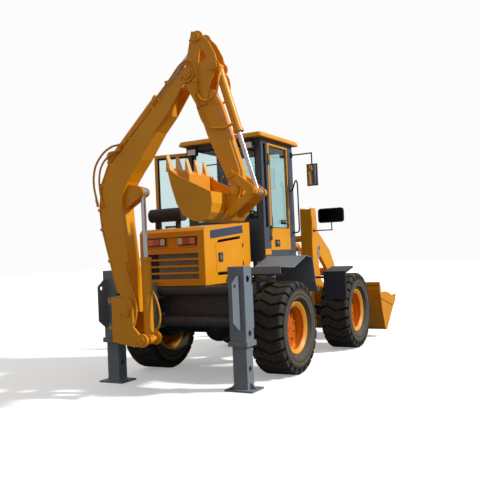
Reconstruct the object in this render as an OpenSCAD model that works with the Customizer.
// Backhoe loader: an articulated wheel loader with a sliding backhoe on its rear rails.
// X points forward, Y to the left, Z up; the origin is on the ground under the articulation pin.

/* [Wheels] */
// Distance between the two axles
wheel_base = 2320; // [2280:10:2380]
// Distance between the middle planes of a left and a right tyre
wheel_track = 1936; // [1920:2:1950]
// Diameter over the tips of the tyre's lugs
tyre_od = 1175; // [1160:1:1190]
// Width of the tyre at its sidewalls
tyre_w = 450; // [430:1:460]
// Height of the tread's lugs
lug_h = 30; // [20:1:36]
// Number of lugs round a tyre
lug_count = 24; // [22:1:26]
// Width of the grooves between the lugs
groove_w = 36; // [30:1:42]
// Diameter of the rim's flanges
rim_od = 662; // [650:1:672]
// Radial height of the rim's flanges
rim_lip = 31; // [24:1:36]
// Thickness of the rim's barrel
rim_wall = 12; // [8:1:16]
// Radius of the axle's hub drums
hub_r = 150; // [130:1:180]

/* [Rear frame] */
// Distance from the middle to the frame's side plates
frame_half = 400; // [380:1:420]
// Thickness of the frame's side plates
frame_t = 20; // [16:1:25]
// Height of the frame's top edge under the hood
frame_top = 1200; // [1190:1:1204]
// Height of the frame's lower edge over the axle
frame_low = 700; // [690:1:720]
// Radius of the articulation pins
art_pin_r = 35; // [30:1:40]
// Thickness of the articulation lugs
art_lug_t = 35; // [28:1:40]

/* [Stabilizers] */
// Distance from the middle to a stabilizer leg
leg_half = 919; // [905:1:930]
// Distance of the legs and rails behind the rear axle
leg_back = 1041; // [1030:1:1050]
// Width of a leg housing across the machine
house_w = 209; // [200:1:220]
// Depth of a leg housing along the machine
house_d = 183; // [176:1:190]
// Wall of a leg housing
house_t = 12; // [10:1:13]
// Height of a housing's top
house_top = 1411; // [1400:1:1420]
// Height of a housing's lower end
house_low = 504; // [490:1:520]
// Slack between a leg and its housing, each side
leg_slack = 3; // [2:0.5:5]
// Height of a leg's top inside its housing
leg_top = 985; // [960:1:990]
// Width of a foot pad across the machine
pad_w = 364; // [340:1:380]
// Depth of a foot pad along the machine
pad_d = 286; // [270:1:288]
// Thickness of a foot pad
pad_t = 20; // [14:1:26]
// Radius of the two slide rails
rail_r = 60; // [54:1:64]
// Height of the upper slide rail
rail_high = 1137; // [1125:1:1145]
// Height of the lower slide rail
rail_low = 782; // [772:1:790]
// Distance from the middle of a leg to the outer face of its end plate
stop_out = 46; // [35:1:55]
// Reach of the end plates behind the housings
stop_reach = 178; // [150:1:185]

/* [Hood] */
// Distance of the hood's rear face behind the rear axle
hood_back = 1056; // [1050:1:1060]
// Length of the hood
hood_len = 1150; // [1120:1:1160]
// Half width of the hood
hood_half = 471; // [460:1:480]
// Height of the hood's rear top edge
hood_top = 1894; // [1880:1:1905]
// Rise of the hood's top towards the cab
hood_rise = 76; // [60:1:84]
// Thickness of the hood's panels
hood_t = 6; // [4:0.5:8]
// Number of slots in the rear grille
grille_slots = 4; // [3:1:5]

/* [Cab] */
// Front face of the cab from the articulation pin
cab_front = 140; // [120:1:150]
// Length of the cab's body
cab_len = 1020; // [1000:1:1030]
// Half width of the cab's body
cab_half = 600; // [590:1:610]
// Thickness of the cab's posts and walls
cab_t = 45; // [40:1:50]
// Height of the cab's underside
cab_low = 1440; // [1430:1:1460]
// Height of the cab's top edge under the roof
cab_high = 3120; // [3110:1:3130]
// Thickness of the cab's floor
floor_t = 30; // [20:1:40]
// Overhang of the roof at front and rear
roof_over = 111; // [100:1:120]
// Half width of the roof
roof_half = 665; // [655:1:675]
// Thickness of the roof
roof_t = 63; // [50:1:70]
// Distance of the door's hinge ahead of the cab's rear face
door_back = 200; // [190:1:210]
// Width of a door leaf
door_w = 640; // [620:1:660]
// Height of a door's lower edge
door_low = 1585; // [1580:1:1600]
// Height of a door's upper edge
door_high = 3075; // [3060:1:3080]
// Thickness of a door leaf
door_t = 34; // [28:1:38]
// Height of the sill under a door's window
sill_z = 1900; // [1880:1:1920]
// Thickness of the window panes
glass_t = 6; // [5:1:8]
// Angle at which the left door stands open
door_open = 100; // [90:1:104]

/* [Loader] */
// Arm pivot ahead of the articulation pin
arm_x = 1030; // [1020:1:1040]
// Height of the arm pivot
arm_z = 1900; // [1890:1:1910]
// Distance from the middle to the middle of an arm plate
arm_half = 445; // [440:1:450]
// Thickness of an arm plate
arm_t = 60; // [50:1:64]
// Bucket pivot ahead of the articulation pin
hinge_x = 2285; // [2280:1:2290]
// Height of the bucket pivot
hinge_z = 370; // [360:1:380]
// Half width of the loader bucket
bucket_half = 1220; // [1200:1:1225]
// Thickness of the loader bucket's plates
bucket_t = 16; // [12:1:20]
// Number of teeth on the loader bucket
bucket_teeth = 8; // [6:1:9]
// Width of a tower column
tower_w = 190; // [186:1:194]
// Thickness of the tower's plates
tower_t = 25; // [20:1:26]
// Height of the towers' tops
tower_top = 2240; // [2225:1:2250]
// Rear face of the towers ahead of the articulation pin
tower_x = 920; // [910:1:930]

/* [Backhoe] */
// Distance of the boom's plane behind the rear axle
boom_back = 1620; // [1615:1:1625]
// Side position of the swing pin
swing_y = 450; // [440:1:460]
// Radius of the swing pins
swing_pin_r = 32; // [28:1:36]
// Half width of the boom
boom_half = 108; // [104:1:110]
// Half width of the stick's box
stick_half = 75; // [72:1:76]
// Half width of the digging bucket
dig_half = 400; // [380:1:404]
// Thickness of the digging bucket's plates
dig_t = 16; // [12:1:18]
// Number of teeth on the digging bucket
dig_teeth = 5; // [4:1:6]
// Radius of the backhoe's pins
pin_r = 30; // [26:1:34]

/* [Cylinders] */
// Outer radius of the boom cylinder's barrel
boom_cyl_r = 56; // [50:1:60]
// Outer radius of the stick cylinder's barrel
stick_cyl_r = 54; // [48:1:58]
// Outer radius of the digging bucket cylinder's barrel
dig_cyl_r = 48; // [42:1:52]
// Outer radius of the lift cylinders' barrels
lift_cyl_r = 52; // [46:1:56]
// Outer radius of the tilt cylinder's barrel
tilt_cyl_r = 58; // [50:1:62]
// Outer radius of the steering cylinders' barrels
steer_cyl_r = 40; // [34:1:44]
// Radius of a rod as a share of its barrel's radius
rod_share = 0.52; // [0.45:0.01:0.58]

/* [Hidden] */
$fn = 48;

// Finishes
yellow = [0.90, 0.62, 0.05];
navy = [0.20, 0.21, 0.25];
steel_grey = [0.42, 0.46, 0.51];
black = [0.10, 0.10, 0.11];
chrome = [0.80, 0.81, 0.83];
rubber = [0.13, 0.13, 0.13];
glass = [0.70, 0.85, 0.88, 0.4];

// Running clearance between faces that nearly touch, and radial play of a pin in its bore
seat_gap = 0.3;
pin_play = 0.05;
// Side gap between a fork and the plate that turns in it
fork_gap = 4;

axle_z = tyre_od / 2;
rear_x = -wheel_base / 2;
front_x = wheel_base / 2;
rim_r = rim_od / 2;
barrel_r = rim_r - rim_lip;
leg_x = rear_x - leg_back;
hood_x = rear_x - hood_back;
cab_rear = cab_front - cab_len;
door_x = cab_rear + door_back;
tower_half = arm_half + tower_w / 2;
boom_x = rear_x - boom_back;
hood_low = frame_top + seat_gap;
// Front face of the plate that carries the leg housings
mount_t = 20;
mount_x = leg_x + house_d / 2 + mount_t;

// Plate drawn in X and Z that fills Y from y0 to y0 + t
module xz(y0, t) {
  translate([0, y0 + t, 0]) rotate([90, 0, 0]) linear_extrude(t) children();
}

// Plate drawn in Y and Z that fills X from x0 to x0 + t
module yz(x0, t) {
  translate([x0, 0, 0]) rotate([90, 0, 90]) linear_extrude(t) children();
}

module ycyl(x, y0, z, r, len) {
  translate([x, y0, z]) rotate([-90, 0, 0]) cylinder(r = r, h = len);
}

module xcyl(x0, y, z, r, len) {
  translate([x0, y, z]) rotate([0, 90, 0]) cylinder(r = r, h = len);
}

module zcyl(x, y, z0, r, len) {
  translate([x, y, z0]) cylinder(r = r, h = len);
}

module block(low, high) {
  translate(low) cube(high - low);
}

module both() {
  children();
  mirror([0, 1, 0]) children();
}

// Flat bar with round ends between two points, its flanks set in slightly from the ends' tangents
bar_share = 0.985;
module bar(a, b, r) {
  d = b - a;
  h = r * bar_share;
  translate(a) circle(r);
  translate(b) circle(r);
  translate(a) rotate(atan2(d[1], d[0])) translate([0, -h]) square([norm(d), 2 * h]);
}

// Angle and length from one drawing point to another
function heading(a, b) = atan2(b[1] - a[1], b[0] - a[0]);
function span(a, b) = norm(b - a);

// Barrel of a cylinder that lies along +X from its base eye at the origin, eye pin along Z
module cyl_barrel(r, len, eye_r, eye_half, bore) {
  difference() {
    union() {
      translate([eye_r * 0.7, 0, 0]) rotate([0, 90, 0]) cylinder(r = r, h = len - eye_r * 0.7);
      translate([len - r * 0.8, 0, 0]) rotate([0, 90, 0]) cylinder(r = r * 1.14, h = r * 0.8);
      translate([0, 0, -eye_half]) cylinder(r = eye_r, h = 2 * eye_half);
    }
    translate([0, 0, -eye_half - 1]) cylinder(r = bore, h = 2 * eye_half + 2);
    translate([eye_r * 2.2, 0, 0]) rotate([0, 90, 0]) cylinder(r = r * rod_share + 0.5, h = len);
  }
}

// Rod that lies along +X up to its eye at the origin
module cyl_rod(r, len, eye_r, eye_half) {
  difference() {
    union() {
      translate([-len, 0, 0]) rotate([0, 90, 0]) cylinder(r = r * rod_share, h = len - eye_r * 0.6);
      translate([0, 0, -eye_half]) cylinder(r = eye_r, h = 2 * eye_half);
    }
    translate([0, 0, -eye_half - 1]) cylinder(r = eye_r * 0.5, h = 2 * eye_half + 2);
  }
}

// Cylinder parts placed in the X-Z plane at side position y, base at a, eye at b
module in_xz(y, a, b) {
  translate([a[0], y, a[1]]) rotate([90, 0, 0]) rotate([0, 0, heading(a, b)]) children();
}

// Cylinder parts placed in the Y-Z plane at x, base at a, eye at b
module in_yz(x, a, b) {
  translate([x, a[0], a[1]]) rotate([90, 0, 90]) rotate([0, 0, heading(a, b)]) children();
}

// Tyre about the Y axis, with its outer side towards +Y: a ring of lugs that run across it in a zigzag
tyre_r = tyre_od / 2;
bead_half = 160;
// One groove: place across the tread, place along it, depth under the lugs' tips
groove_path = [[-240, -18, 92], [-112, 46, lug_h], [52, -36, lug_h], [240, 14, 92]];
module groove() {
  for (i = [0:len(groove_path) - 2]) {
    a = groove_path[i];
    b = groove_path[i + 1];
    run = norm([b[0] - a[0], b[1] - a[1]]);
    translate([a[1], a[0], tyre_r - a[2]]) rotate([0, 0, -atan2(b[1] - a[1], b[0] - a[0])])
      rotate([atan2(a[2] - b[2], run), 0, 0]) translate([-groove_w / 2, -6, 0])
        cube([groove_w, run + 12, 140]);
  }
}
module tyre() {
  half = tyre_w / 2;
  color(rubber) difference() {
    rotate([90, 0, 0]) rotate_extrude($fn = 48) polygon([
      [barrel_r + seat_gap, -bead_half], [rim_r + 4, -bead_half], [rim_r + 50, -half + 4],
      [tyre_r - 80, -half], [tyre_r - 16, -half + 14], [tyre_r, -half + 38], [tyre_r, half - 38],
      [tyre_r - 16, half - 14], [tyre_r - 80, half], [rim_r + 50, half - 4], [rim_r + 4, bead_half],
      [barrel_r + seat_gap, bead_half]]);
    for (i = [0:lug_count - 1]) rotate([0, (i + 0.5) * 360 / lug_count, 0]) groove();
  }
}

// Rim about the Y axis: barrel, two flanges, gutter ring, deep disc and hub cap, outer side towards +Y
disc_y = 30;
disc_t = 16;
gutter_r = 268;
module rim() {
  lip_y = bead_half + 4;
  wall_r = barrel_r - rim_wall;
  color("darkorange") rotate([-90, 0, 0]) rotate_extrude($fn = 48) polygon([
    [0, disc_y], [wall_r, disc_y], [wall_r, -lip_y - rim_wall], [rim_r, -lip_y - rim_wall],
    [rim_r, -lip_y], [barrel_r, -lip_y], [barrel_r, lip_y], [rim_r, lip_y], [rim_r, lip_y + rim_wall],
    [rim_r - 16, lip_y + rim_wall], [gutter_r, lip_y - 18], [gutter_r, lip_y - 40], [wall_r, lip_y - 60],
    [wall_r, disc_y + disc_t], [hub_r, disc_y + disc_t], [hub_r - 16, disc_y + 34], [0, disc_y + 36]]);
}

module wheel_place(x, side) {
  translate([x, side * wheel_track / 2, axle_z]) mirror([0, side < 0 ? 1 : 0, 0]) children();
}

// Axle housing with its differential, tubes, hub drums and the pads under the frame
axle_r = 85;
module axle(x) {
  hub_end = wheel_track / 2 + disc_y - seat_gap;
  color(navy) translate([x, 0, axle_z]) {
    sphere(r = 200);
    both() {
      ycyl(0, 0, 0, axle_r, hub_end - 40);
      ycyl(0, hub_end - 290, 0, hub_r, 290);
      translate([-110, frame_half - frame_t - 40, 0])
        cube([220, frame_t + 50, frame_low - axle_z - seat_gap]);
    }
  }
}

// Rear frame: two side plates, bulkheads and the articulation lugs with their pins
art_low = 480;
art_high = 935;
art_bulk = 230;
art_floor = 420;
bulk_t = 20;
lug_r = 100;
lug_root = 260;
// Reach of the articulation pins beyond the outer faces of their lugs
pin_out = 8;
module rear_side_outline() {
  polygon([[mount_x, frame_low], [mount_x, frame_top], [-art_bulk, frame_top], [-art_bulk, art_floor],
    [-480, art_floor], [-640, frame_low]]);
}
module art_lug(z, root) {
  dir = sign(root);
  translate([0, 0, z]) linear_extrude(art_lug_t) difference() {
    union() {
      polygon([[root, -lug_root], [dir * 60, -lug_r], [dir * 60, lug_r], [root, lug_root]]);
      bar([dir * 60, 0], [0, 0], lug_r);
    }
    if (dir > 0) circle(art_pin_r + pin_play);
  }
}
module rear_frame() {
  color(navy) {
    both() xz(frame_half - frame_t, frame_t) rear_side_outline();
    difference() {
      block([-art_bulk - bulk_t, -frame_half, art_floor], [-art_bulk, frame_half, frame_top]);
      both() block([-art_bulk - bulk_t - 1, 145, steer_z - 58], [-art_bulk + 1, 362, steer_z + 58]);
    }
    block([-1010, -frame_half, frame_top - 30], [-700, frame_half, frame_top]);
    // Flanges that the hood stands on
    both() block([mount_x, frame_half - frame_t, frame_top - 12],
      [hood_nose - 130, hood_half + 4, frame_top]);
    for (z = [art_low, art_high - art_lug_t]) art_lug(z, -art_bulk);
    zcyl(0, 0, art_low - pin_out, art_pin_r, 2 * art_lug_t + 2 * pin_out);
    zcyl(0, 0, art_high - 2 * art_lug_t - pin_out, art_pin_r, 2 * art_lug_t + 2 * pin_out);
    // Ears for the steering cylinders
    both() for (z = [steer_z - 60, steer_z + 40]) translate([0, 0, z]) linear_extrude(20)
      bar(steer_base, [steer_base[0], frame_half - frame_t - 10], 45);
    both() zcyl(steer_base[0], steer_base[1], steer_z - 66, 24, 132);
    // Brackets that carry the cab
    both() for (x = [cab_rear + 60, cab_front - 440])
      block([x, frame_half - frame_t, frame_top], [x + 80, frame_half, cab_low]);
  }
}

// Stabilizer frame: slide rails, leg housings with collars, end plates and the plate to the rear frame
collar_h = 60;
collar_t = 20;
// Holes for the pins that lock the legs
lock_r = 38;
lock_low = 643;
lock_high = 1265;
end_t = 12;
module stabilizer_frame() {
  inner = leg_half - house_w / 2;
  outer = leg_half + house_w / 2;
  back = leg_x - house_d / 2;
  color(steel_grey) {
    for (z = [rail_low, rail_high]) {
      ycyl(leg_x, -inner, z, rail_r, 2 * inner);
    }
    both() {
      difference() {
        union() {
          block([leg_x - house_d / 2, inner, house_low], [leg_x + house_d / 2, outer, house_top]);
          block([leg_x - house_d / 2 - collar_t, inner - collar_t, house_low],
            [leg_x + house_d / 2 + collar_t, outer + collar_t, house_low + collar_h]);
        }
        block([leg_x - house_d / 2 + house_t, inner + house_t, house_low - 1],
          [leg_x + house_d / 2 - house_t, outer - house_t, house_top - house_t]);
        for (z = [lock_low, lock_high]) ycyl(leg_x, inner - 1, z, lock_r, house_w + 2);
      }
      // End plate that stops the carriage
      xz(leg_half + stop_out - end_t, end_t) difference() {
        polygon([[back, 700], [back - 60, 700], [back - stop_reach, 790], [back - stop_reach, 1220],
          [back - 60, 1305], [back, 1305]]);
        translate([back - stop_reach + 62, 1195]) circle(24);
      }
    }
    // Plate that joins the housings to the rear frame
    block([leg_x + house_d / 2, -outer, frame_low], [mount_x, outer, frame_top - 5]);
  }
}

// Stabilizer leg with its foot pad
module leg(side) {
  hw = house_w / 2 - house_t - leg_slack;
  hd = house_d / 2 - house_t - leg_slack;
  color(steel_grey) translate([leg_x, side * leg_half, 0]) {
    difference() {
      block([-hd, -hw, pad_t], [hd, hw, leg_top]);
      for (z = [lock_low - 400, lock_low]) ycyl(0, -hw - 1, z, lock_r - 4, 2 * hw + 2);
    }
    // Wear pads near the leg's top
    block([-hd - leg_slack + seat_gap, -hw - leg_slack + seat_gap, leg_top - 120],
      [hd + leg_slack - seat_gap, hw + leg_slack - seat_gap, leg_top - 40]);
    block([-pad_d / 2, -pad_w / 2, 0], [pad_d / 2, pad_w / 2, pad_t]);
    for (s = [-1, 1]) yz(-8, 16) polygon([[s * hw, pad_t], [s * (pad_w / 2 - 15), pad_t], [s * hw, 95]]);
  }
}

// Engine and radiator as plain blocks
module engine() {
  color(black) {
    block([-1850, -260, 800], [-1120, 260, 1620]);
    both() for (x = [-1760, -1260]) block([x, 260, 900], [x + 80, frame_half - frame_t, 960]);
    block([hood_x + 130, -400, frame_top], [hood_x + 200, 400, hood_top - 80]);
  }
}

// Hood: folded sheet body with a rear grille and lamp recess
grille_half = 380;
grille_low = 1270;
grille_high = 1600;
lamp_low = 1650;
lamp_high = 1790;
hood_nose = hood_x + hood_len;
tray_d = 26;
module hood_profile() {
  polygon([[hood_x, hood_low], [hood_x, hood_top - 40], [hood_x + 40, hood_top],
    [hood_nose, hood_top + hood_rise], [hood_nose, 1440], [hood_nose - 160, hood_low]]);
}
module hood_hollow() {
  polygon([[hood_x + hood_t, hood_low - 20], [hood_x + hood_t, hood_top - 42],
    [hood_x + 42, hood_top - hood_t], [hood_nose + 20, hood_top + hood_rise - hood_t],
    [hood_nose + 20, hood_low - 20]]);
}
module hood() {
  pitch = (grille_high - grille_low) / grille_slots;
  color(yellow) {
    difference() {
      xz(-hood_half, 2 * hood_half) hood_profile();
      xz(-hood_half + hood_t, 2 * (hood_half - hood_t)) hood_hollow();
      for (i = [0:grille_slots - 1])
        block([hood_x - 1, -grille_half, grille_low + i * pitch + 12],
          [hood_x + hood_t + 1, grille_half, grille_low + (i + 1) * pitch - 12]);
      block([hood_x - 1, -grille_half, lamp_low], [hood_x + hood_t + 1, grille_half, lamp_high]);
      // Slots in the side panels
      for (y = [-hood_half - 1, hood_half - hood_t - 1]) xz(y, hood_t + 2) {
        polygon([[hood_x + 296, 1700], [hood_x + 876, 1752], [hood_x + 886, 1786], [hood_x + 326, 1736]]);
        translate([hood_x + 290, 1306]) square([240, 34]);
      }
    }
    // Recessed tray of the tail lamps
    difference() {
      block([hood_x, -grille_half - hood_t, lamp_low - hood_t],
        [hood_x + tray_d + hood_t, grille_half + hood_t, lamp_high + hood_t]);
      block([hood_x - 1, -grille_half, lamp_low], [hood_x + tray_d, grille_half, lamp_high]);
    }
  }
}

// Air cleaner drum on the hood, on two stubs
drum_r = 85;
stub_r = 34;
module air_cleaner() {
  x = hood_x + 216;
  foot_z = hood_top + hood_rise * (x + stub_r - hood_x - 40) / (hood_len - 40) + seat_gap;
  color(black) {
    ycyl(x, -60, foot_z + 85 + drum_r, drum_r, 490);
    for (y = [30, 340]) zcyl(x, y, foot_z, stub_r, 110);
  }
}

// Cab shell: posts, sills and walls round the windows and both door openings
cab_in = cab_half - cab_t;
post_w = 60;
door_gap = 4;
module cab_window_cuts(grow) {
  // Front, rear and the quarter windows behind the doors
  block([cab_front - cab_t - grow, -cab_in + 40, sill_z - 150],
    [cab_front + grow, cab_in - 40, cab_high - 70]);
  block([cab_rear - grow, -cab_in + 40, hood_top + 130],
    [cab_rear + cab_t + grow, cab_in - 40, cab_high - 70]);
}
module cab_shell() {
  color(navy) difference() {
    block([cab_rear, -cab_half, cab_low], [cab_front, cab_half, cab_high]);
    block([cab_rear + cab_t, -cab_in, cab_low + floor_t], [cab_front - cab_t, cab_in, cab_high + 1]);
    cab_window_cuts(1);
    both() {
      block([door_x - door_gap, cab_half - cab_t - 1, door_low - door_gap],
        [door_x + door_w + door_gap, cab_half + 1, door_high + door_gap]);
      block([cab_rear + post_w, cab_half - cab_t - 1, sill_z],
        [door_x - post_w, cab_half + 1, cab_high - 70]);
    }
  }
  // Hinge knuckles under the doors' own
  color(navy) both() for (z = knuckle_z) {
    translate([door_x, cab_half + hinge_out, z - knuckle_h - seat_gap])
      cylinder(r = knuckle_r, h = knuckle_h);
    block([door_x - 30, cab_half - 5, z - knuckle_h], [door_x, cab_half + hinge_out, z - 10]);
  }
}

// Roof cap with a rounded rim and a sloping upper edge
module cab_roof() {
  color(yellow) hull() {
    roof_slab(cab_high, 20, 0);
    roof_slab(cab_high + roof_t - 18, 18, 20);
  }
}
module roof_slab(z, t, inset) {
  for (x = [cab_rear - roof_over + 30 + inset, cab_front + roof_over - 30 - inset])
    for (s = [-1, 1]) zcyl(x, s * (roof_half - 30 - inset), z, 30, t);
}
module square_between(low, high) {
  translate(low) square(high - low);
}

// Fixed panes: front, rear and quarter windows
module cab_glass() {
  color(glass) {
    for (x = [cab_front - cab_t / 2, cab_rear + cab_t / 2])
      block([x - glass_t / 2, -cab_in + 40, x > 0 ? sill_z - 150 : hood_top + 130],
        [x + glass_t / 2, cab_in - 40, cab_high - 70]);
    both() block([cab_rear + post_w, cab_half - cab_t / 2 - glass_t / 2, sill_z],
      [door_x - post_w, cab_half - cab_t / 2 + glass_t / 2, cab_high - 70]);
  }
}

// Door leaf, closed, with hinge axis at the origin and its outer face towards +Y
hinge_out = 12;
knuckle_r = 11;
knuckle_h = 60;
knuckle_z = [door_low + 200, door_high - 250];
module door_leaf() {
  color(steel_grey) difference() {
    block([0, -door_t, door_low], [door_w, 0, door_high]);
    block([55, -door_t - 1, sill_z], [door_w - 45, 1, door_high - 45]);
  }
  color(black) for (z = knuckle_z) {
    zcyl(0, hinge_out, z, knuckle_r, 90);
    block([0, -2, z + 20], [60, hinge_out, z + 70]);
  }
}
module door_pane() {
  color(glass) block([55, -door_t / 2 - glass_t / 2, sill_z],
    [door_w - 45, -door_t / 2 + glass_t / 2, door_high - 45]);
}
module door_place(side, open) {
  mirror([0, side < 0 ? 1 : 0, 0]) translate([door_x, cab_half + hinge_out, 0]) rotate([0, 0, open])
    translate([0, -hinge_out, 0]) children();
}

// Seat: cushion and back rest
seat_x = -380;
seat_z = cab_low + floor_t + 420;
module seat() {
  color(black) xz(-230, 460) {
    bar([seat_x - 200, seat_z + 60], [seat_x + 190, seat_z + 60], 60);
    bar([seat_x - 220, seat_z + 60], [seat_x - 310, seat_z + 640], 45);
  }
}

// Controls: seat pedestal, front console, steering column with its wheel, rear lever stands
module controls() {
  floor_z = cab_low + floor_t;
  color(black) {
    block([seat_x - 150, -150, floor_z], [seat_x + 150, 150, seat_z]);
    block([cab_front - cab_t - 170, -260, floor_z], [cab_front - cab_t, 260, floor_z + 620]);
    translate([cab_front - cab_t - 130, 0, floor_z + 560]) rotate([0, -35, 0]) {
      cylinder(r = 28, h = 220);
      translate([0, 0, 212]) rotate_extrude() translate([180, 0]) circle(14, $fn = 24);
      for (a = [0, 120, 240]) rotate([0, 0, a]) translate([0, -12, 204]) cube([180, 24, 14]);
    }
    both() {
      block([cab_rear + cab_t, 260, floor_z], [cab_rear + cab_t + 150, 380, floor_z + 560]);
      zcyl(cab_rear + cab_t + 75, 320, floor_z + 560, 9, 200);
    }
  }
}

// Rear fenders over the tyres, with the step ladders in front of the wheels
fender_in = cab_half + 5;
fender_out = 1185;
fender_t = 10;
module rear_fenders() {
  outline = [[-1665, 1300], [-1665, 1385], [-1250, 1365], [-850, 1500], [-640, 1460], [-575, 1130],
    [-470, 1000]];
  n = len(outline);
  color(steel_grey) both() {
    xz(fender_in, fender_out - fender_in) difference() {
      polygon(outline);
      polygon([for (i = [0:n - 1]) outline[i] + (i == 0 ? [fender_t, -1] : i == n - 1 ? [-14, -10]
        : i < 4 ? [i == 1 ? fender_t : 0, -fender_t] : [-fender_t, -2])]);
    }
    block([-880, frame_half, frame_top - 40], [-800, fender_in + 2, frame_top]);
    block([-880, fender_in - 4, frame_top - 40], [-800, fender_in + 20, 1482]);
    // Ladder: two tubes and the rungs between them
    for (x = [-450, -250]) {
      zcyl(x, 960, 420, 15, 780);
      ycyl(x, frame_half, frame_top - 15, 15, 575);
    }
    for (z = [430, 690, 930, 1150]) xcyl(-450, 960, z, 13, 200);
    // Grab rail on the fender
    for (y = [900, 1020]) zcyl(-720, y, 1462, 9, 100);
    ycyl(-720, 891, 1560, 9, 138);
  }
}

// Lamps: tail lamp pair in the hood, work lamps under the roof's edges
module lamps() {
  color("darkred") both() block([hood_x - 4, 88, lamp_low + 38], [hood_x + tray_d, 352, lamp_high - 8]);
  color(black) both() {
    for (x = [cab_rear - 65, cab_front + 65]) {
      block([x - 32, 375, cab_high - 155], [x + 32, 525, cab_high - 55]);
      block([x - 12, 430, cab_high - 60], [x + 12, 470, cab_high]);
    }
  }
}

// Cab mirrors on arms at the front posts
module cab_mirrors() {
  color(black) both() {
    xz(cab_half, 20) bar([cab_front - 40, cab_high - 120], [cab_front - 40, cab_high - 160], 20);
    ycyl(cab_front - 40, cab_half, cab_high - 140, 10, 330);
    zcyl(cab_front - 40, cab_half + 330, cab_high - 560, 10, 430);
    block([cab_front - 55, cab_half + 250, cab_high - 620],
      [cab_front - 25, cab_half + 410, cab_high - 300]);
  }
}

// Front frame: side plates, tower columns, cross members and articulation lugs
steer_z = 640;
steer_base = [-600, 220];
steer_eye = [130, 280];
tilt_base = [1050, 1750];
lift_base = [1120, 780];
lift_eye = [1310, 1600];
front_half = 350;
front_x0 = 220;
arm_pin_r = 36;
cyl_pin_r = 26;
fork_t = 25;
tilt_fork = 64;
module tower_outline() {
  polygon([[tower_x, frame_low], [tower_x, tower_top - 20], [tower_x + 30, tower_top],
    [tower_x + 170, tower_top], [tower_x + 205, tower_top - 40], [arm_x + 120, arm_z + 60],
    [arm_x + 140, arm_z - 80], [arm_x + 90, 1500], [arm_x + 190, 1100], [arm_x + 300, 1000],
    [arm_x + 300, frame_low]]);
}
module front_frame() {
  inner = tower_half - tower_w;
  cross_x = tilt_base[0] - 130;
  color(yellow) {
    both() {
      xz(tower_half - tower_t, tower_t) tower_outline();
      xz(inner, tower_t) tower_outline();
      block([tower_x, inner, frame_low], [tower_x + tower_t, tower_half, tower_top - 20]);
      ycyl(arm_x, inner - 10, arm_z, arm_pin_r, tower_w + 20);
      ycyl(lift_base[0], inner, lift_base[1], cyl_pin_r, tower_w);
      // Side plate from the articulation to the nose
      xz(front_half - frame_t, frame_t) polygon([[front_x0, art_floor], [front_x0, 1000], [700, 1180],
        [1560, 1180], [1740, 1040], [1740, 760], [1640, frame_low], [820, frame_low], [480, art_floor]]);
      // Ears for the steering rods
      for (z = [steer_z - 54, steer_z + 34]) translate([0, 0, z]) linear_extrude(20)
        bar(steer_eye, [front_x0 + 10, steer_eye[1]], 34);
    }
    block([front_x0, -front_half, art_floor], [front_x0 + 25, front_half, 1000]);
    block([arm_x + 300, -front_half, frame_low], [arm_x + 320, front_half, 1150]);
    ycyl(cross_x, -inner, tilt_base[1], 50, 2 * inner);
    for (y = [-tilt_fork - fork_t, tilt_fork]) xz(y, fork_t) bar([cross_x, tilt_base[1]], tilt_base, 50);
    ycyl(tilt_base[0], -tilt_fork - fork_t, tilt_base[1], cyl_pin_r, 2 * (tilt_fork + fork_t));
    for (z = [art_low + art_lug_t + seat_gap, art_high - 2 * art_lug_t - seat_gap]) art_lug(z, front_x0);
  }
}

// Loader arms: two deep plates joined by two cross tubes
arm_bell = [1660, 1160];
arm_cross = [[1900, 1180, 70], [2060, 930, 50]];
hinge_r = 32;
bell_r = 30;
module arm_outline() {
  difference() {
    union() {
      polygon([[arm_x, arm_z + 78], [arm_x + 90, arm_z + 70], [1325, 1873], [1840, 1550], [2066, 1262],
        [2130, 1060], [2160, 860], [2290, 440], [2235, 335], [2060, 640], [1900, 1000],
        [1712, 1215], [1303, 1544], [arm_x - 55, arm_z - 55]]);
      translate([arm_x, arm_z]) circle(78);
      translate([hinge_x, hinge_z]) circle(62);
      translate(lift_eye) circle(85);
    }
    translate([arm_x, arm_z]) circle(arm_pin_r + pin_play);
    translate([hinge_x, hinge_z]) circle(hinge_r + pin_play);
    translate(lift_eye) circle(30);
  }
}
module loader_arms() {
  inner = arm_half - arm_t / 2;
  color(yellow) {
    both() xz(inner, arm_t) arm_outline();
    for (c = arm_cross) ycyl(c[0], -inner, c[1], c[2], 2 * inner);
    for (y = [-82, 57]) xz(y, fork_t) difference() {
      bar([arm_cross[0][0], arm_cross[0][1]], arm_bell, 62);
      translate(arm_bell) circle(bell_r + pin_play);
    }
  }
}

// Pins in the arms' tips that the bucket turns on, with a cap outside each ear of the bucket
module bucket_pins() {
  cap_t = 14;
  inner = arm_half - arm_t / 2 - 34 - seat_gap;
  outer = arm_half + arm_t / 2 + 34 + seat_gap;
  color(chrome) both() {
    ycyl(hinge_x, inner - cap_t, hinge_z, hinge_r, outer - inner + 2 * cap_t);
    for (y = [inner - cap_t, outer]) ycyl(hinge_x, y, hinge_z, 52, cap_t);
  }
}

// Loader bucket: shell with side plates, lip, teeth and the hinge ears
bucket_top = [2218, 967];
bucket_heel = [2505, 116];
bucket_tip = [3130, 600];
tilt_eye = [2224, 575];
tilt_eye_r = 42;
bucket_toe = [2550, 118];
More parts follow.
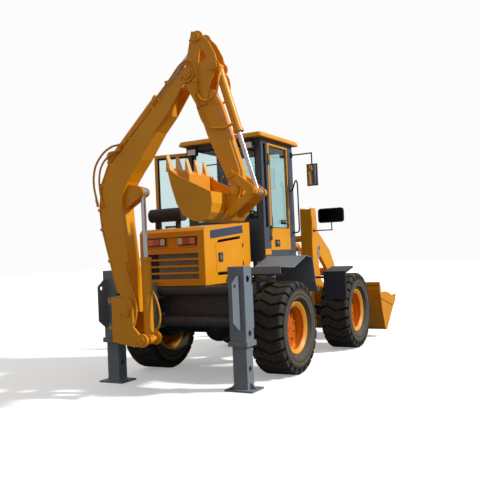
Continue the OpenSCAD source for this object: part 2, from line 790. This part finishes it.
// Upper edge of a bucket's side, from the back to the lip
bucket_rim = [[2306, 775], [2440, 787], [2560, 777], [2700, 750], [2864, 702], [3010, 657]];
cutter_t = 10;
module bucket_side() {
  polygon(concat([[2440, 170], [2300, 520], [2212, 830], bucket_top, [2250, 967]], bucket_rim,
    [bucket_tip, bucket_toe, [2490, 122]]));
}
module bucket_wall() {
  // Back, heel and floor plates as one folded strip
  difference() {
    polygon([bucket_top, [2212, 830], [2300, 520], [2440, 170], [2490, 122], bucket_toe, bucket_tip,
      [2960, 690], [2620, 860]]);
    translate([bucket_t * 0.9, bucket_t * 0.9]) polygon([[2216, 967 + 40], [2216, 834], [2304, 524],
      [2444, 176], [2492, 130], [2548, 126], [3140, 608], [3140, 1100], [2216, 1200]]);
  }
}
module loader_bucket() {
  side_half = bucket_half - cutter_t;
  first = bucket_half - 42;
  pitch = 2 * first / (bucket_teeth - 1);
  floor_a = heading(bucket_toe, bucket_tip);
  color(yellow) {
    xz(-side_half, 2 * side_half) bucket_wall();
    both() {
      xz(side_half - bucket_t, bucket_t) bucket_side();
      // Side cutter bolted along the upper edge
      xz(side_half, cutter_t) polygon(concat([[2950, 506], [2216, 692], [2216, 757]], bucket_rim,
        [bucket_tip, [3040, 538]]));
    }
    // Teeth on their adaptors along the lip
    for (i = [0:bucket_teeth - 1])
      translate([bucket_tip[0], i * pitch - first, bucket_tip[1]]) rotate([0, -floor_a, 0]) {
        xz(-38, 76) polygon([[-150, 4], [-150, 26], [-20, 44], [10, 32], [10, -12], [-20, -14]]);
        xz(-28, 56) polygon([[-20, 36], [40, 34], [125, 8], [40, -8], [-20, -8]]);
      }
    // Rolled edge along the back
    xz(-side_half, 2 * side_half) polygon([[2232, 962], [2196, 960], [2196, 920], [2222, 900]]);
    // Ears for the arm pins and for the tilt link
    both() for (y = [arm_half - arm_t / 2 - 34, arm_half + arm_t / 2 + 8]) xz(y, 26) difference() {
      hull() {
        translate([hinge_x, hinge_z]) circle(66, $fn = 32);
        polygon([[2292, 560], [2398, 270], [2372, 620]]);
      }
      translate([hinge_x, hinge_z]) circle(hinge_r + pin_play);
    }
    for (y = [-70, 45]) xz(y, 25) hull() {
      translate(tilt_eye) circle(55, $fn = 32);
      polygon([[2238, 760], [2330, 440], [2290, 700]]);
    }
  }
}

// Bellcrank on the arms' middle, its pin, and the link to the bucket
bell_low = [1560, 800];
bell_high = [1900, 1530];
link_r = 28;
module bellcrank_pin() {
  color(chrome) ycyl(arm_bell[0], -95, arm_bell[1], bell_r, 190);
}
module bellcrank() {
  color(yellow) xz(-50, 100) difference() {
    union() {
      bar(bell_low, arm_bell, 70);
      bar(arm_bell, bell_high, 66);
    }
    translate(arm_bell) circle(bell_r + pin_play);
    translate(bell_low) circle(link_r + pin_play);
  }
}
module link_pin() {
  color(chrome) ycyl(bell_low[0], -90, bell_low[1], link_r, 180);
}
module tilt_link() {
  color(yellow) {
    for (y = [-82, 56]) xz(y, 26) difference() {
      bar(bell_low, bell_low + 0.34 * (tilt_eye - bell_low), 58);
      translate(bell_low) circle(link_r + pin_play);
    }
    xz(-82, 164) bar(bell_low + 0.30 * (tilt_eye - bell_low), bell_low + 0.40 * (tilt_eye - bell_low), 50);
    xz(-40, 80) difference() {
      bar(bell_low + 0.36 * (tilt_eye - bell_low), tilt_eye, tilt_eye_r);
      translate(tilt_eye) circle(28);
    }
  }
}

// Loader cylinders
lift_len = 620;
tilt_len = 500;
module lift_barrels() {
  color(yellow) both() in_xz(arm_half, lift_base, lift_eye)
    cyl_barrel(lift_cyl_r, lift_len, 50, 50, cyl_pin_r + pin_play);
}
module lift_rods() {
  total = span(lift_base, lift_eye);
  color(chrome) both() in_xz(arm_half, lift_base, lift_eye) translate([total, 0, 0]) {
    for (y = [-52, 34]) translate([0, 0, y]) difference() {
      hull() {
        cylinder(r = 50, h = 18, $fn = 32);
        translate([-175, -40, 0]) cube([20, 80, 18]);
      }
      translate([0, 0, -1]) cylinder(r = 28, h = 20);
    }
    translate([-175, -40, -52]) cube([40, 80, 104]);
    translate([-175 - 500, 0, 0]) rotate([0, 90, 0]) cylinder(r = lift_cyl_r * rod_share, h = 505);
  }
}
module tilt_barrel() {
  color(yellow) in_xz(0, tilt_base, bell_high)
    cyl_barrel(tilt_cyl_r, tilt_len, 56, tilt_fork - fork_gap, cyl_pin_r + pin_play);
}
module tilt_rod() {
  color(chrome) in_xz(0, tilt_base, bell_high) translate([span(tilt_base, bell_high), 0, 0]) {
    for (y = [-78, 54]) translate([0, 0, y]) difference() {
      hull() {
        cylinder(r = 50, h = 24, $fn = 32);
        translate([-140, -40, 0]) cube([20, 80, 24]);
      }
      translate([0, 0, -1]) cylinder(r = 28, h = 26);
    }
    translate([-140, -40, -78]) cube([30, 80, 156]);
    translate([-140 - 380, 0, 0]) rotate([0, 90, 0]) cylinder(r = tilt_cyl_r * rod_share, h = 385);
  }
}
module steer_barrel(side) {
  color(black) mirror([0, side < 0 ? 1 : 0, 0]) translate([steer_base[0], steer_base[1], steer_z])
    rotate([0, 0, heading(steer_base, steer_eye)]) cyl_barrel(steer_cyl_r, 480, 38, 38, 24 + pin_play);
}
module steer_rod(side) {
  total = span(steer_base, steer_eye);
  color(chrome) mirror([0, side < 0 ? 1 : 0, 0]) translate([steer_base[0], steer_base[1], steer_z])
    rotate([0, 0, heading(steer_base, steer_eye)]) translate([total, 0, 0])
      cyl_rod(steer_cyl_r, 430, 30, 26);
}

// Front fenders: rear plate, rising top plate and the arm that carries both
apron_in = 840;
apron_out = 1190;
apron_x = 580;
apron_nose = 950;
module front_fenders() {
  color(black) both() {
    block([apron_x, apron_in, 800], [apron_x + 10, apron_out, 1228]);
    xz(apron_in, apron_out - apron_in) polygon([[apron_x, 1216], [apron_nose, 1284], [apron_nose, 1294],
      [apron_x, 1226]]);
    // Folded rim down the outer side
    xz(apron_out - 8, 8) polygon([[apron_x, 800], [apron_x, 1226], [apron_nose, 1294], [apron_nose, 1268],
      [apron_x + 30, 1196], [apron_x + 30, 800]]);
    block([700, front_half, 1120], [780, apron_in + 30, 1150]);
    block([700, apron_in, 1120], [780, apron_in + 10, 1246]);
  }
}

// Mirrors on the towers
module tower_mirrors() {
  color(black) both() {
    ycyl(tower_x + 60, tower_half, 1870, 14, 40);
    ycyl(tower_x + 60, tower_half + 30, 1870, 9, 300);
    zcyl(tower_x + 60, tower_half + 320, 1862, 9, 150);
    hull() for (y = [690, 1020]) for (z = [2034, 2166]) xcyl(tower_x + 40, y, z, 48, 34);
  }
}

// Carriage that slides on the rails and carries the swing lugs
carriage_half = 270;
plate_x = leg_x - house_d / 2 - 8;
module carriage() {
  color(yellow) {
    block([plate_x - 30, swing_y - carriage_half, 650], [plate_x, swing_y + carriage_half, 1250]);
    // Claws round the lower rail and under the upper one
    for (c = [[rail_low, 90], [rail_high, 50]]) for (s = [-1, 1]) difference() {
      block([plate_x, swing_y + s * 170 - 80, c[0] - 90], [leg_x + 85, swing_y + s * 170 + 80, c[0] + c[1]]);
      ycyl(leg_x, swing_y + s * 170 - 81, c[0], rail_r + seat_gap, 162);
    }
    difference() {
      for (z = lug_levels) translate([0, 0, z]) linear_extrude(25) {
        polygon([[plate_x - 15, swing_y - 200], [plate_x - 15, swing_y + 200], [boom_x + 180, swing_y + 70],
          [boom_x + 180, swing_y - 70]]);
        bar([boom_x, swing_y], [boom_x + 190, swing_y], 70);
      }
      zcyl(boom_x, swing_y, 500, swing_pin_r, 800);
    }
    for (z = [lug_levels[0], lug_levels[2]])
      zcyl(boom_x, swing_y, z - 5, swing_pin_r, 95);
  }
}

// Swing post: tongues between the lugs, two cheeks and the ears of the boom cylinder
lug_levels = [725, 785, 1030, 1090];
foot = [156, 960];
lift_foot = [-43, 633];
cheek_in = boom_half + 5;
cheek_t = 28;
module swing_post() {
  color(yellow) {
    for (z = [lug_levels[0], lug_levels[2]]) translate([0, 0, z + 25 + seat_gap])
      linear_extrude(35 - 2 * seat_gap) difference() {
        union() {
          bar([boom_x, swing_y], [boom_x, swing_y - 60], 68);
          translate([boom_x - 68, 360]) square([136, swing_y - 360]);
          translate([boom_x - cheek_in - 10, 330]) square([2 * cheek_in + 20, 40]);
        }
        translate([boom_x, swing_y]) circle(swing_pin_r + pin_play);
      }
    for (x = [boom_x - cheek_in - cheek_t, boom_x + cheek_in]) yz(x, cheek_t) {
      polygon([[370, 612], [370, 1117], [130, 1117], [75, 1060], [70, 780], [-10, 700], [-100, 660],
        [-110, 600], [-60, 570], [60, 560]]);
      translate(lift_foot) circle(75);
    }
    // Web that closes the cheeks towards the lugs
    yz(boom_x - cheek_in, 2 * cheek_in) square_between([335, 612], [370, 1117]);
    xcyl(boom_x - cheek_in - cheek_t - 12, foot[0], foot[1], pin_r, 2 * (cheek_in + cheek_t) + 24);
    xcyl(boom_x - cheek_in - cheek_t - 12, lift_foot[0], lift_foot[1], pin_r, 2 * (cheek_in + cheek_t) + 24);
  }
}

// Boom: box beam with a cranked outline, a fork at its tip and ears for three cylinders
tip = [-764, 3503];
boom_eye = [-34, 2301];
stick_base = [345, 2739];
boom_outer = [[282, 1168], [385, 1537], [470, 1905], [492, 2030], [495, 2130], [484, 2250], [458, 2390],
  [408, 2525], [330, 2645], [4, 2933], [-400, 3293], [-560, 3428]];
boom_inner = [[-480, 3110], [-315, 2943], [-103, 2662], [10, 2535], [95, 2430], [150, 2335], [182, 2225],
  [187, 2100], [177, 1962], [121, 1454], [88, 1020]];
// Steel pipes along the boom's outer edge: path, radius, distance from the middle, clamps with their angles
pipe_path = [[306, 1168], [500, 1905], [524, 2130], [485, 2420], [362, 2665], [-324, 3258]];
pipe_r = 13;
pipe_x = 90;
pipe_clamps = [[403, 1537, -15], [500, 1905, -10], [524, 2130, 1], [485, 2420, 17], [362, 2665, 38],
  [60, 2926, 49], [-280, 3220, 49]];
// Polyline of round pipe in a plane along the machine, its bends inside clamps
module pipe(x, path, r) {
  lap = 4;
  for (i = [0:len(path) - 2]) in_yz(x, path[i], path[i + 1]) rotate([0, 90, 0]) translate([0, 0, -lap])
    cylinder(r = r, h = span(path[i], path[i + 1]) + 2 * lap, $fn = 24);
}
module boom() {
  color(yellow) {
    difference() {
      yz(boom_x - boom_half + 16, 2 * (boom_half - 16)) difference() {
        polygon(concat([[foot[0] + 70, foot[1] - 20]], boom_outer, boom_inner,
          [[foot[0] - 70, foot[1] - 20]]));
        translate(tip) circle(150);
      }
      xcyl(boom_x - 200, foot[0], foot[1], pin_r + pin_play, 400);
    }
    for (x = [boom_x - boom_half, boom_x + boom_half - 16]) yz(x, 16) difference() {
      union() {
        polygon(concat(boom_outer, [[-700, 3560], [-830, 3530], [-840, 3450], [-700, 3400]], boom_inner));
        bar([foot[0], foot[1] + 120], foot, 80);
        translate(tip) circle(85);
      }
      translate(foot) circle(pin_r + pin_play);
      translate(tip) circle(pin_r);
    }
    // Ears of the boom cylinder and of the stick cylinder
    for (x = [-62, 42]) yz(boom_x + x, 20) hull() {
      translate(boom_eye) circle(52, $fn = 32);
      polygon([[180, 2420], [186, 2120], [170, 2300]]);
    }
    for (x = [-82, 62]) yz(boom_x + x, 20) hull() {
      translate(stick_base) circle(60, $fn = 32);
      polygon([[300, 2660], [120, 2810], [200, 2700]]);
    }
    xcyl(boom_x - 82, stick_base[0], stick_base[1], pin_r, 164);
    for (x = [boom_x - pipe_x, boom_x + pipe_x]) {
      pipe(x, pipe_path, pipe_r);
      for (c = pipe_clamps) translate([x, c[0], c[1]]) rotate([c[2], 0, 0]) translate([-17, -54, -15])
        cube([34, 76, 30]);
    }
    xcyl(boom_x - boom_half - 10, tip[0], tip[1], pin_r, 2 * boom_half + 20);
  }
}

// Stick: box beam with two ear plates at its head
stick_eye = [-892, 3880];
dig_base = [-1097, 3536];
rocker_pivot = [-1234, 2389];
dig_hinge = [-1288, 2207];
ear_t = 18;
module stick_head_outline() {
  difference() {
    union() {
      polygon([[-700, 3440], [-826, 3956], [-920, 3937], [-1033, 3813], [-1105, 3672], [-1137, 3544],
        [-1040, 3380], [-980, 3150], [-860, 3150]]);
      translate(tip) circle(75);
      translate(stick_eye) circle(72);
      translate(dig_base) circle(60);
    }
    translate(tip) circle(pin_r + pin_play);
    translate(stick_eye) circle(pin_r);
    translate(dig_base) circle(pin_r);
    polygon([[-925, 3790], [-1010, 3640], [-900, 3600]]);
  }
}
module stick() {
  color(yellow) {
    for (x = [boom_x - 90, boom_x + 90 - ear_t]) yz(x, ear_t) stick_head_outline();
    difference() {
      yz(boom_x - stick_half, 2 * stick_half) polygon([[-830, 3330], [-845, 3200], [-965, 2828],
        [-1205, 2290],
        [-1230, 2180], [-1330, 2160], [-1350, 2250], [-1327, 2430], [-1101, 3154], [-1010, 3330]]);
      xcyl(boom_x - 100, dig_hinge[0], dig_hinge[1], pin_r + pin_play, 200);
    }
    xcyl(boom_x - 115, rocker_pivot[0], rocker_pivot[1], pin_r, 230);
    xcyl(boom_x - 95, dig_base[0], dig_base[1], pin_r, 190);
  }
}

// Rocker plates and the pin halves that they share with the bucket link
rocker_eye = [-1500, 2180];
link_eye = [-1241, 1988];
rocker_in = stick_half + fork_gap;
rocker_t = 24;
module rocker() {
  color(yellow) for (s = [-1, 1]) {
    yz(boom_x + (s > 0 ? rocker_in : -rocker_in - rocker_t), rocker_t) difference() {
      bar(rocker_pivot, rocker_eye, 46);
      translate(rocker_pivot) circle(pin_r + pin_play);
    }
    xcyl(boom_x + (s > 0 ? 42 : -150), rocker_eye[0], rocker_eye[1], pin_r, 108);
  }
}
module bucket_link() {
  color(yellow) for (s = [-1, 1]) {
    yz(boom_x + (s > 0 ? rocker_in + rocker_t + fork_gap : -rocker_in - rocker_t - fork_gap - 22), 22)
      difference() {
        bar(rocker_eye, link_eye, 42);
        translate(rocker_eye) circle(pin_r + pin_play);
      }
  }
}

// Digging bucket: curved shell, two side plates, teeth and the hinge ears
dig_lip = [-655, 2485];
module dig_side() {
  polygon([dig_lip, [-783, 2386], [-1175, 2190], [-1185, 2080], [-1165, 1985], [-1110, 1915],
    [-1041, 1893], [-952, 1908], [-833, 1975], [-759, 2100], [-696, 2300]]);
}
module dig_shell() {
  difference() {
    dig_side();
    polygon([[-690, 2510], [-714, 2300], [-775, 2108], [-845, 1988], [-957, 1924],
      [-1041, 1909], [-1102, 1929], [-1150, 1993], [-1169, 2082], [-1161, 2180], [-1150, 2700],
      [-700, 2700]]);
  }
}
module dig_bucket() {
  pitch = 2 * (dig_half - 45) / (dig_teeth - 1);
  color(yellow) {
    yz(boom_x - dig_half, 2 * dig_half) dig_shell();
    for (x = [boom_x - dig_half, boom_x + dig_half - dig_t]) yz(x, dig_t) dig_side();
    for (i = [0:dig_teeth - 1]) yz(boom_x - dig_half + 20 + i * pitch, 50)
      polygon([[-690, 2400], [-640, 2622], [-650, 2480], [-672, 2380]]);
    for (s = [-1, 1]) yz(boom_x + (s > 0 ? rocker_in : -rocker_in - 25), 25) hull() {
      translate(dig_hinge) circle(60, $fn = 32);
      translate(link_eye) circle(52, $fn = 32);
      translate([-1185, 2150]) circle(20, $fn = 32);
    }
    xcyl(boom_x - rocker_in - 25, dig_hinge[0], dig_hinge[1], pin_r, 2 * rocker_in + 50);
  }
}

// Backhoe cylinders
module boom_barrel() {
  color(yellow) in_yz(boom_x, lift_foot, boom_eye) cyl_barrel(boom_cyl_r, 930, 52, 38, pin_r + pin_play);
}
module boom_rod() {
  color(chrome) in_yz(boom_x, lift_foot, boom_eye) translate([span(lift_foot, boom_eye), 0, 0])
    cyl_rod(boom_cyl_r, 800, 48, 36);
}
module stick_barrel() {
  color(yellow) in_yz(boom_x, stick_base, stick_eye) cyl_barrel(stick_cyl_r, 880, 50, 58, pin_r + pin_play);
}
module stick_rod() {
  color(chrome) in_yz(boom_x, stick_base, stick_eye) translate([span(stick_base, stick_eye), 0, 0])
    cyl_rod(stick_cyl_r, 860, 46, 36);
}
module bucket_barrel() {
  color(yellow) in_yz(boom_x, dig_base, rocker_eye) cyl_barrel(dig_cyl_r, 740, 46, 38, pin_r + pin_play);
}
module bucket_rod() {
  color(chrome) in_yz(boom_x, dig_base, rocker_eye) translate([span(dig_base, rocker_eye), 0, 0])
    cyl_rod(dig_cyl_r, 720, 44, 36);
}

rear_frame();
axle(rear_x);  // rear_axle
stabilizer_frame();
engine();
hood();
air_cleaner();
cab_shell();
cab_roof();
cab_glass();
seat();
controls();
rear_fenders();
lamps();
cab_mirrors();
door_place(-1, 0) door_leaf();  // door_right
door_place(-1, 0) door_pane();  // door_right_glass
door_place(1, door_open) door_leaf();  // door_left
door_place(1, door_open) door_pane();  // door_left_glass
front_frame();
axle(front_x);  // front_axle
front_fenders();
tower_mirrors();
loader_arms();
bucket_pins();
loader_bucket();
bellcrank_pin();
bellcrank();
link_pin();
tilt_link();
lift_barrels();
lift_rods();
tilt_barrel();
tilt_rod();
steer_barrel(1);  // steer_barrel_left
steer_barrel(-1);  // steer_barrel_right
steer_rod(1);  // steer_rod_left
steer_rod(-1);  // steer_rod_right
wheel_place(rear_x, 1) tyre();  // tyre_rear_left
wheel_place(rear_x, -1) tyre();  // tyre_rear_right
wheel_place(front_x, 1) tyre();  // tyre_front_left
wheel_place(front_x, -1) tyre();  // tyre_front_right
wheel_place(rear_x, 1) rim();  // rim_rear_left
wheel_place(rear_x, -1) rim();  // rim_rear_right
wheel_place(front_x, 1) rim();  // rim_front_left
wheel_place(front_x, -1) rim();  // rim_front_right
carriage();
swing_post();
boom();
stick();
dig_bucket();
rocker();
bucket_link();
boom_barrel();
boom_rod();
stick_barrel();
stick_rod();
bucket_barrel();
bucket_rod();
leg(1);  // leg_left
leg(-1);  // leg_right
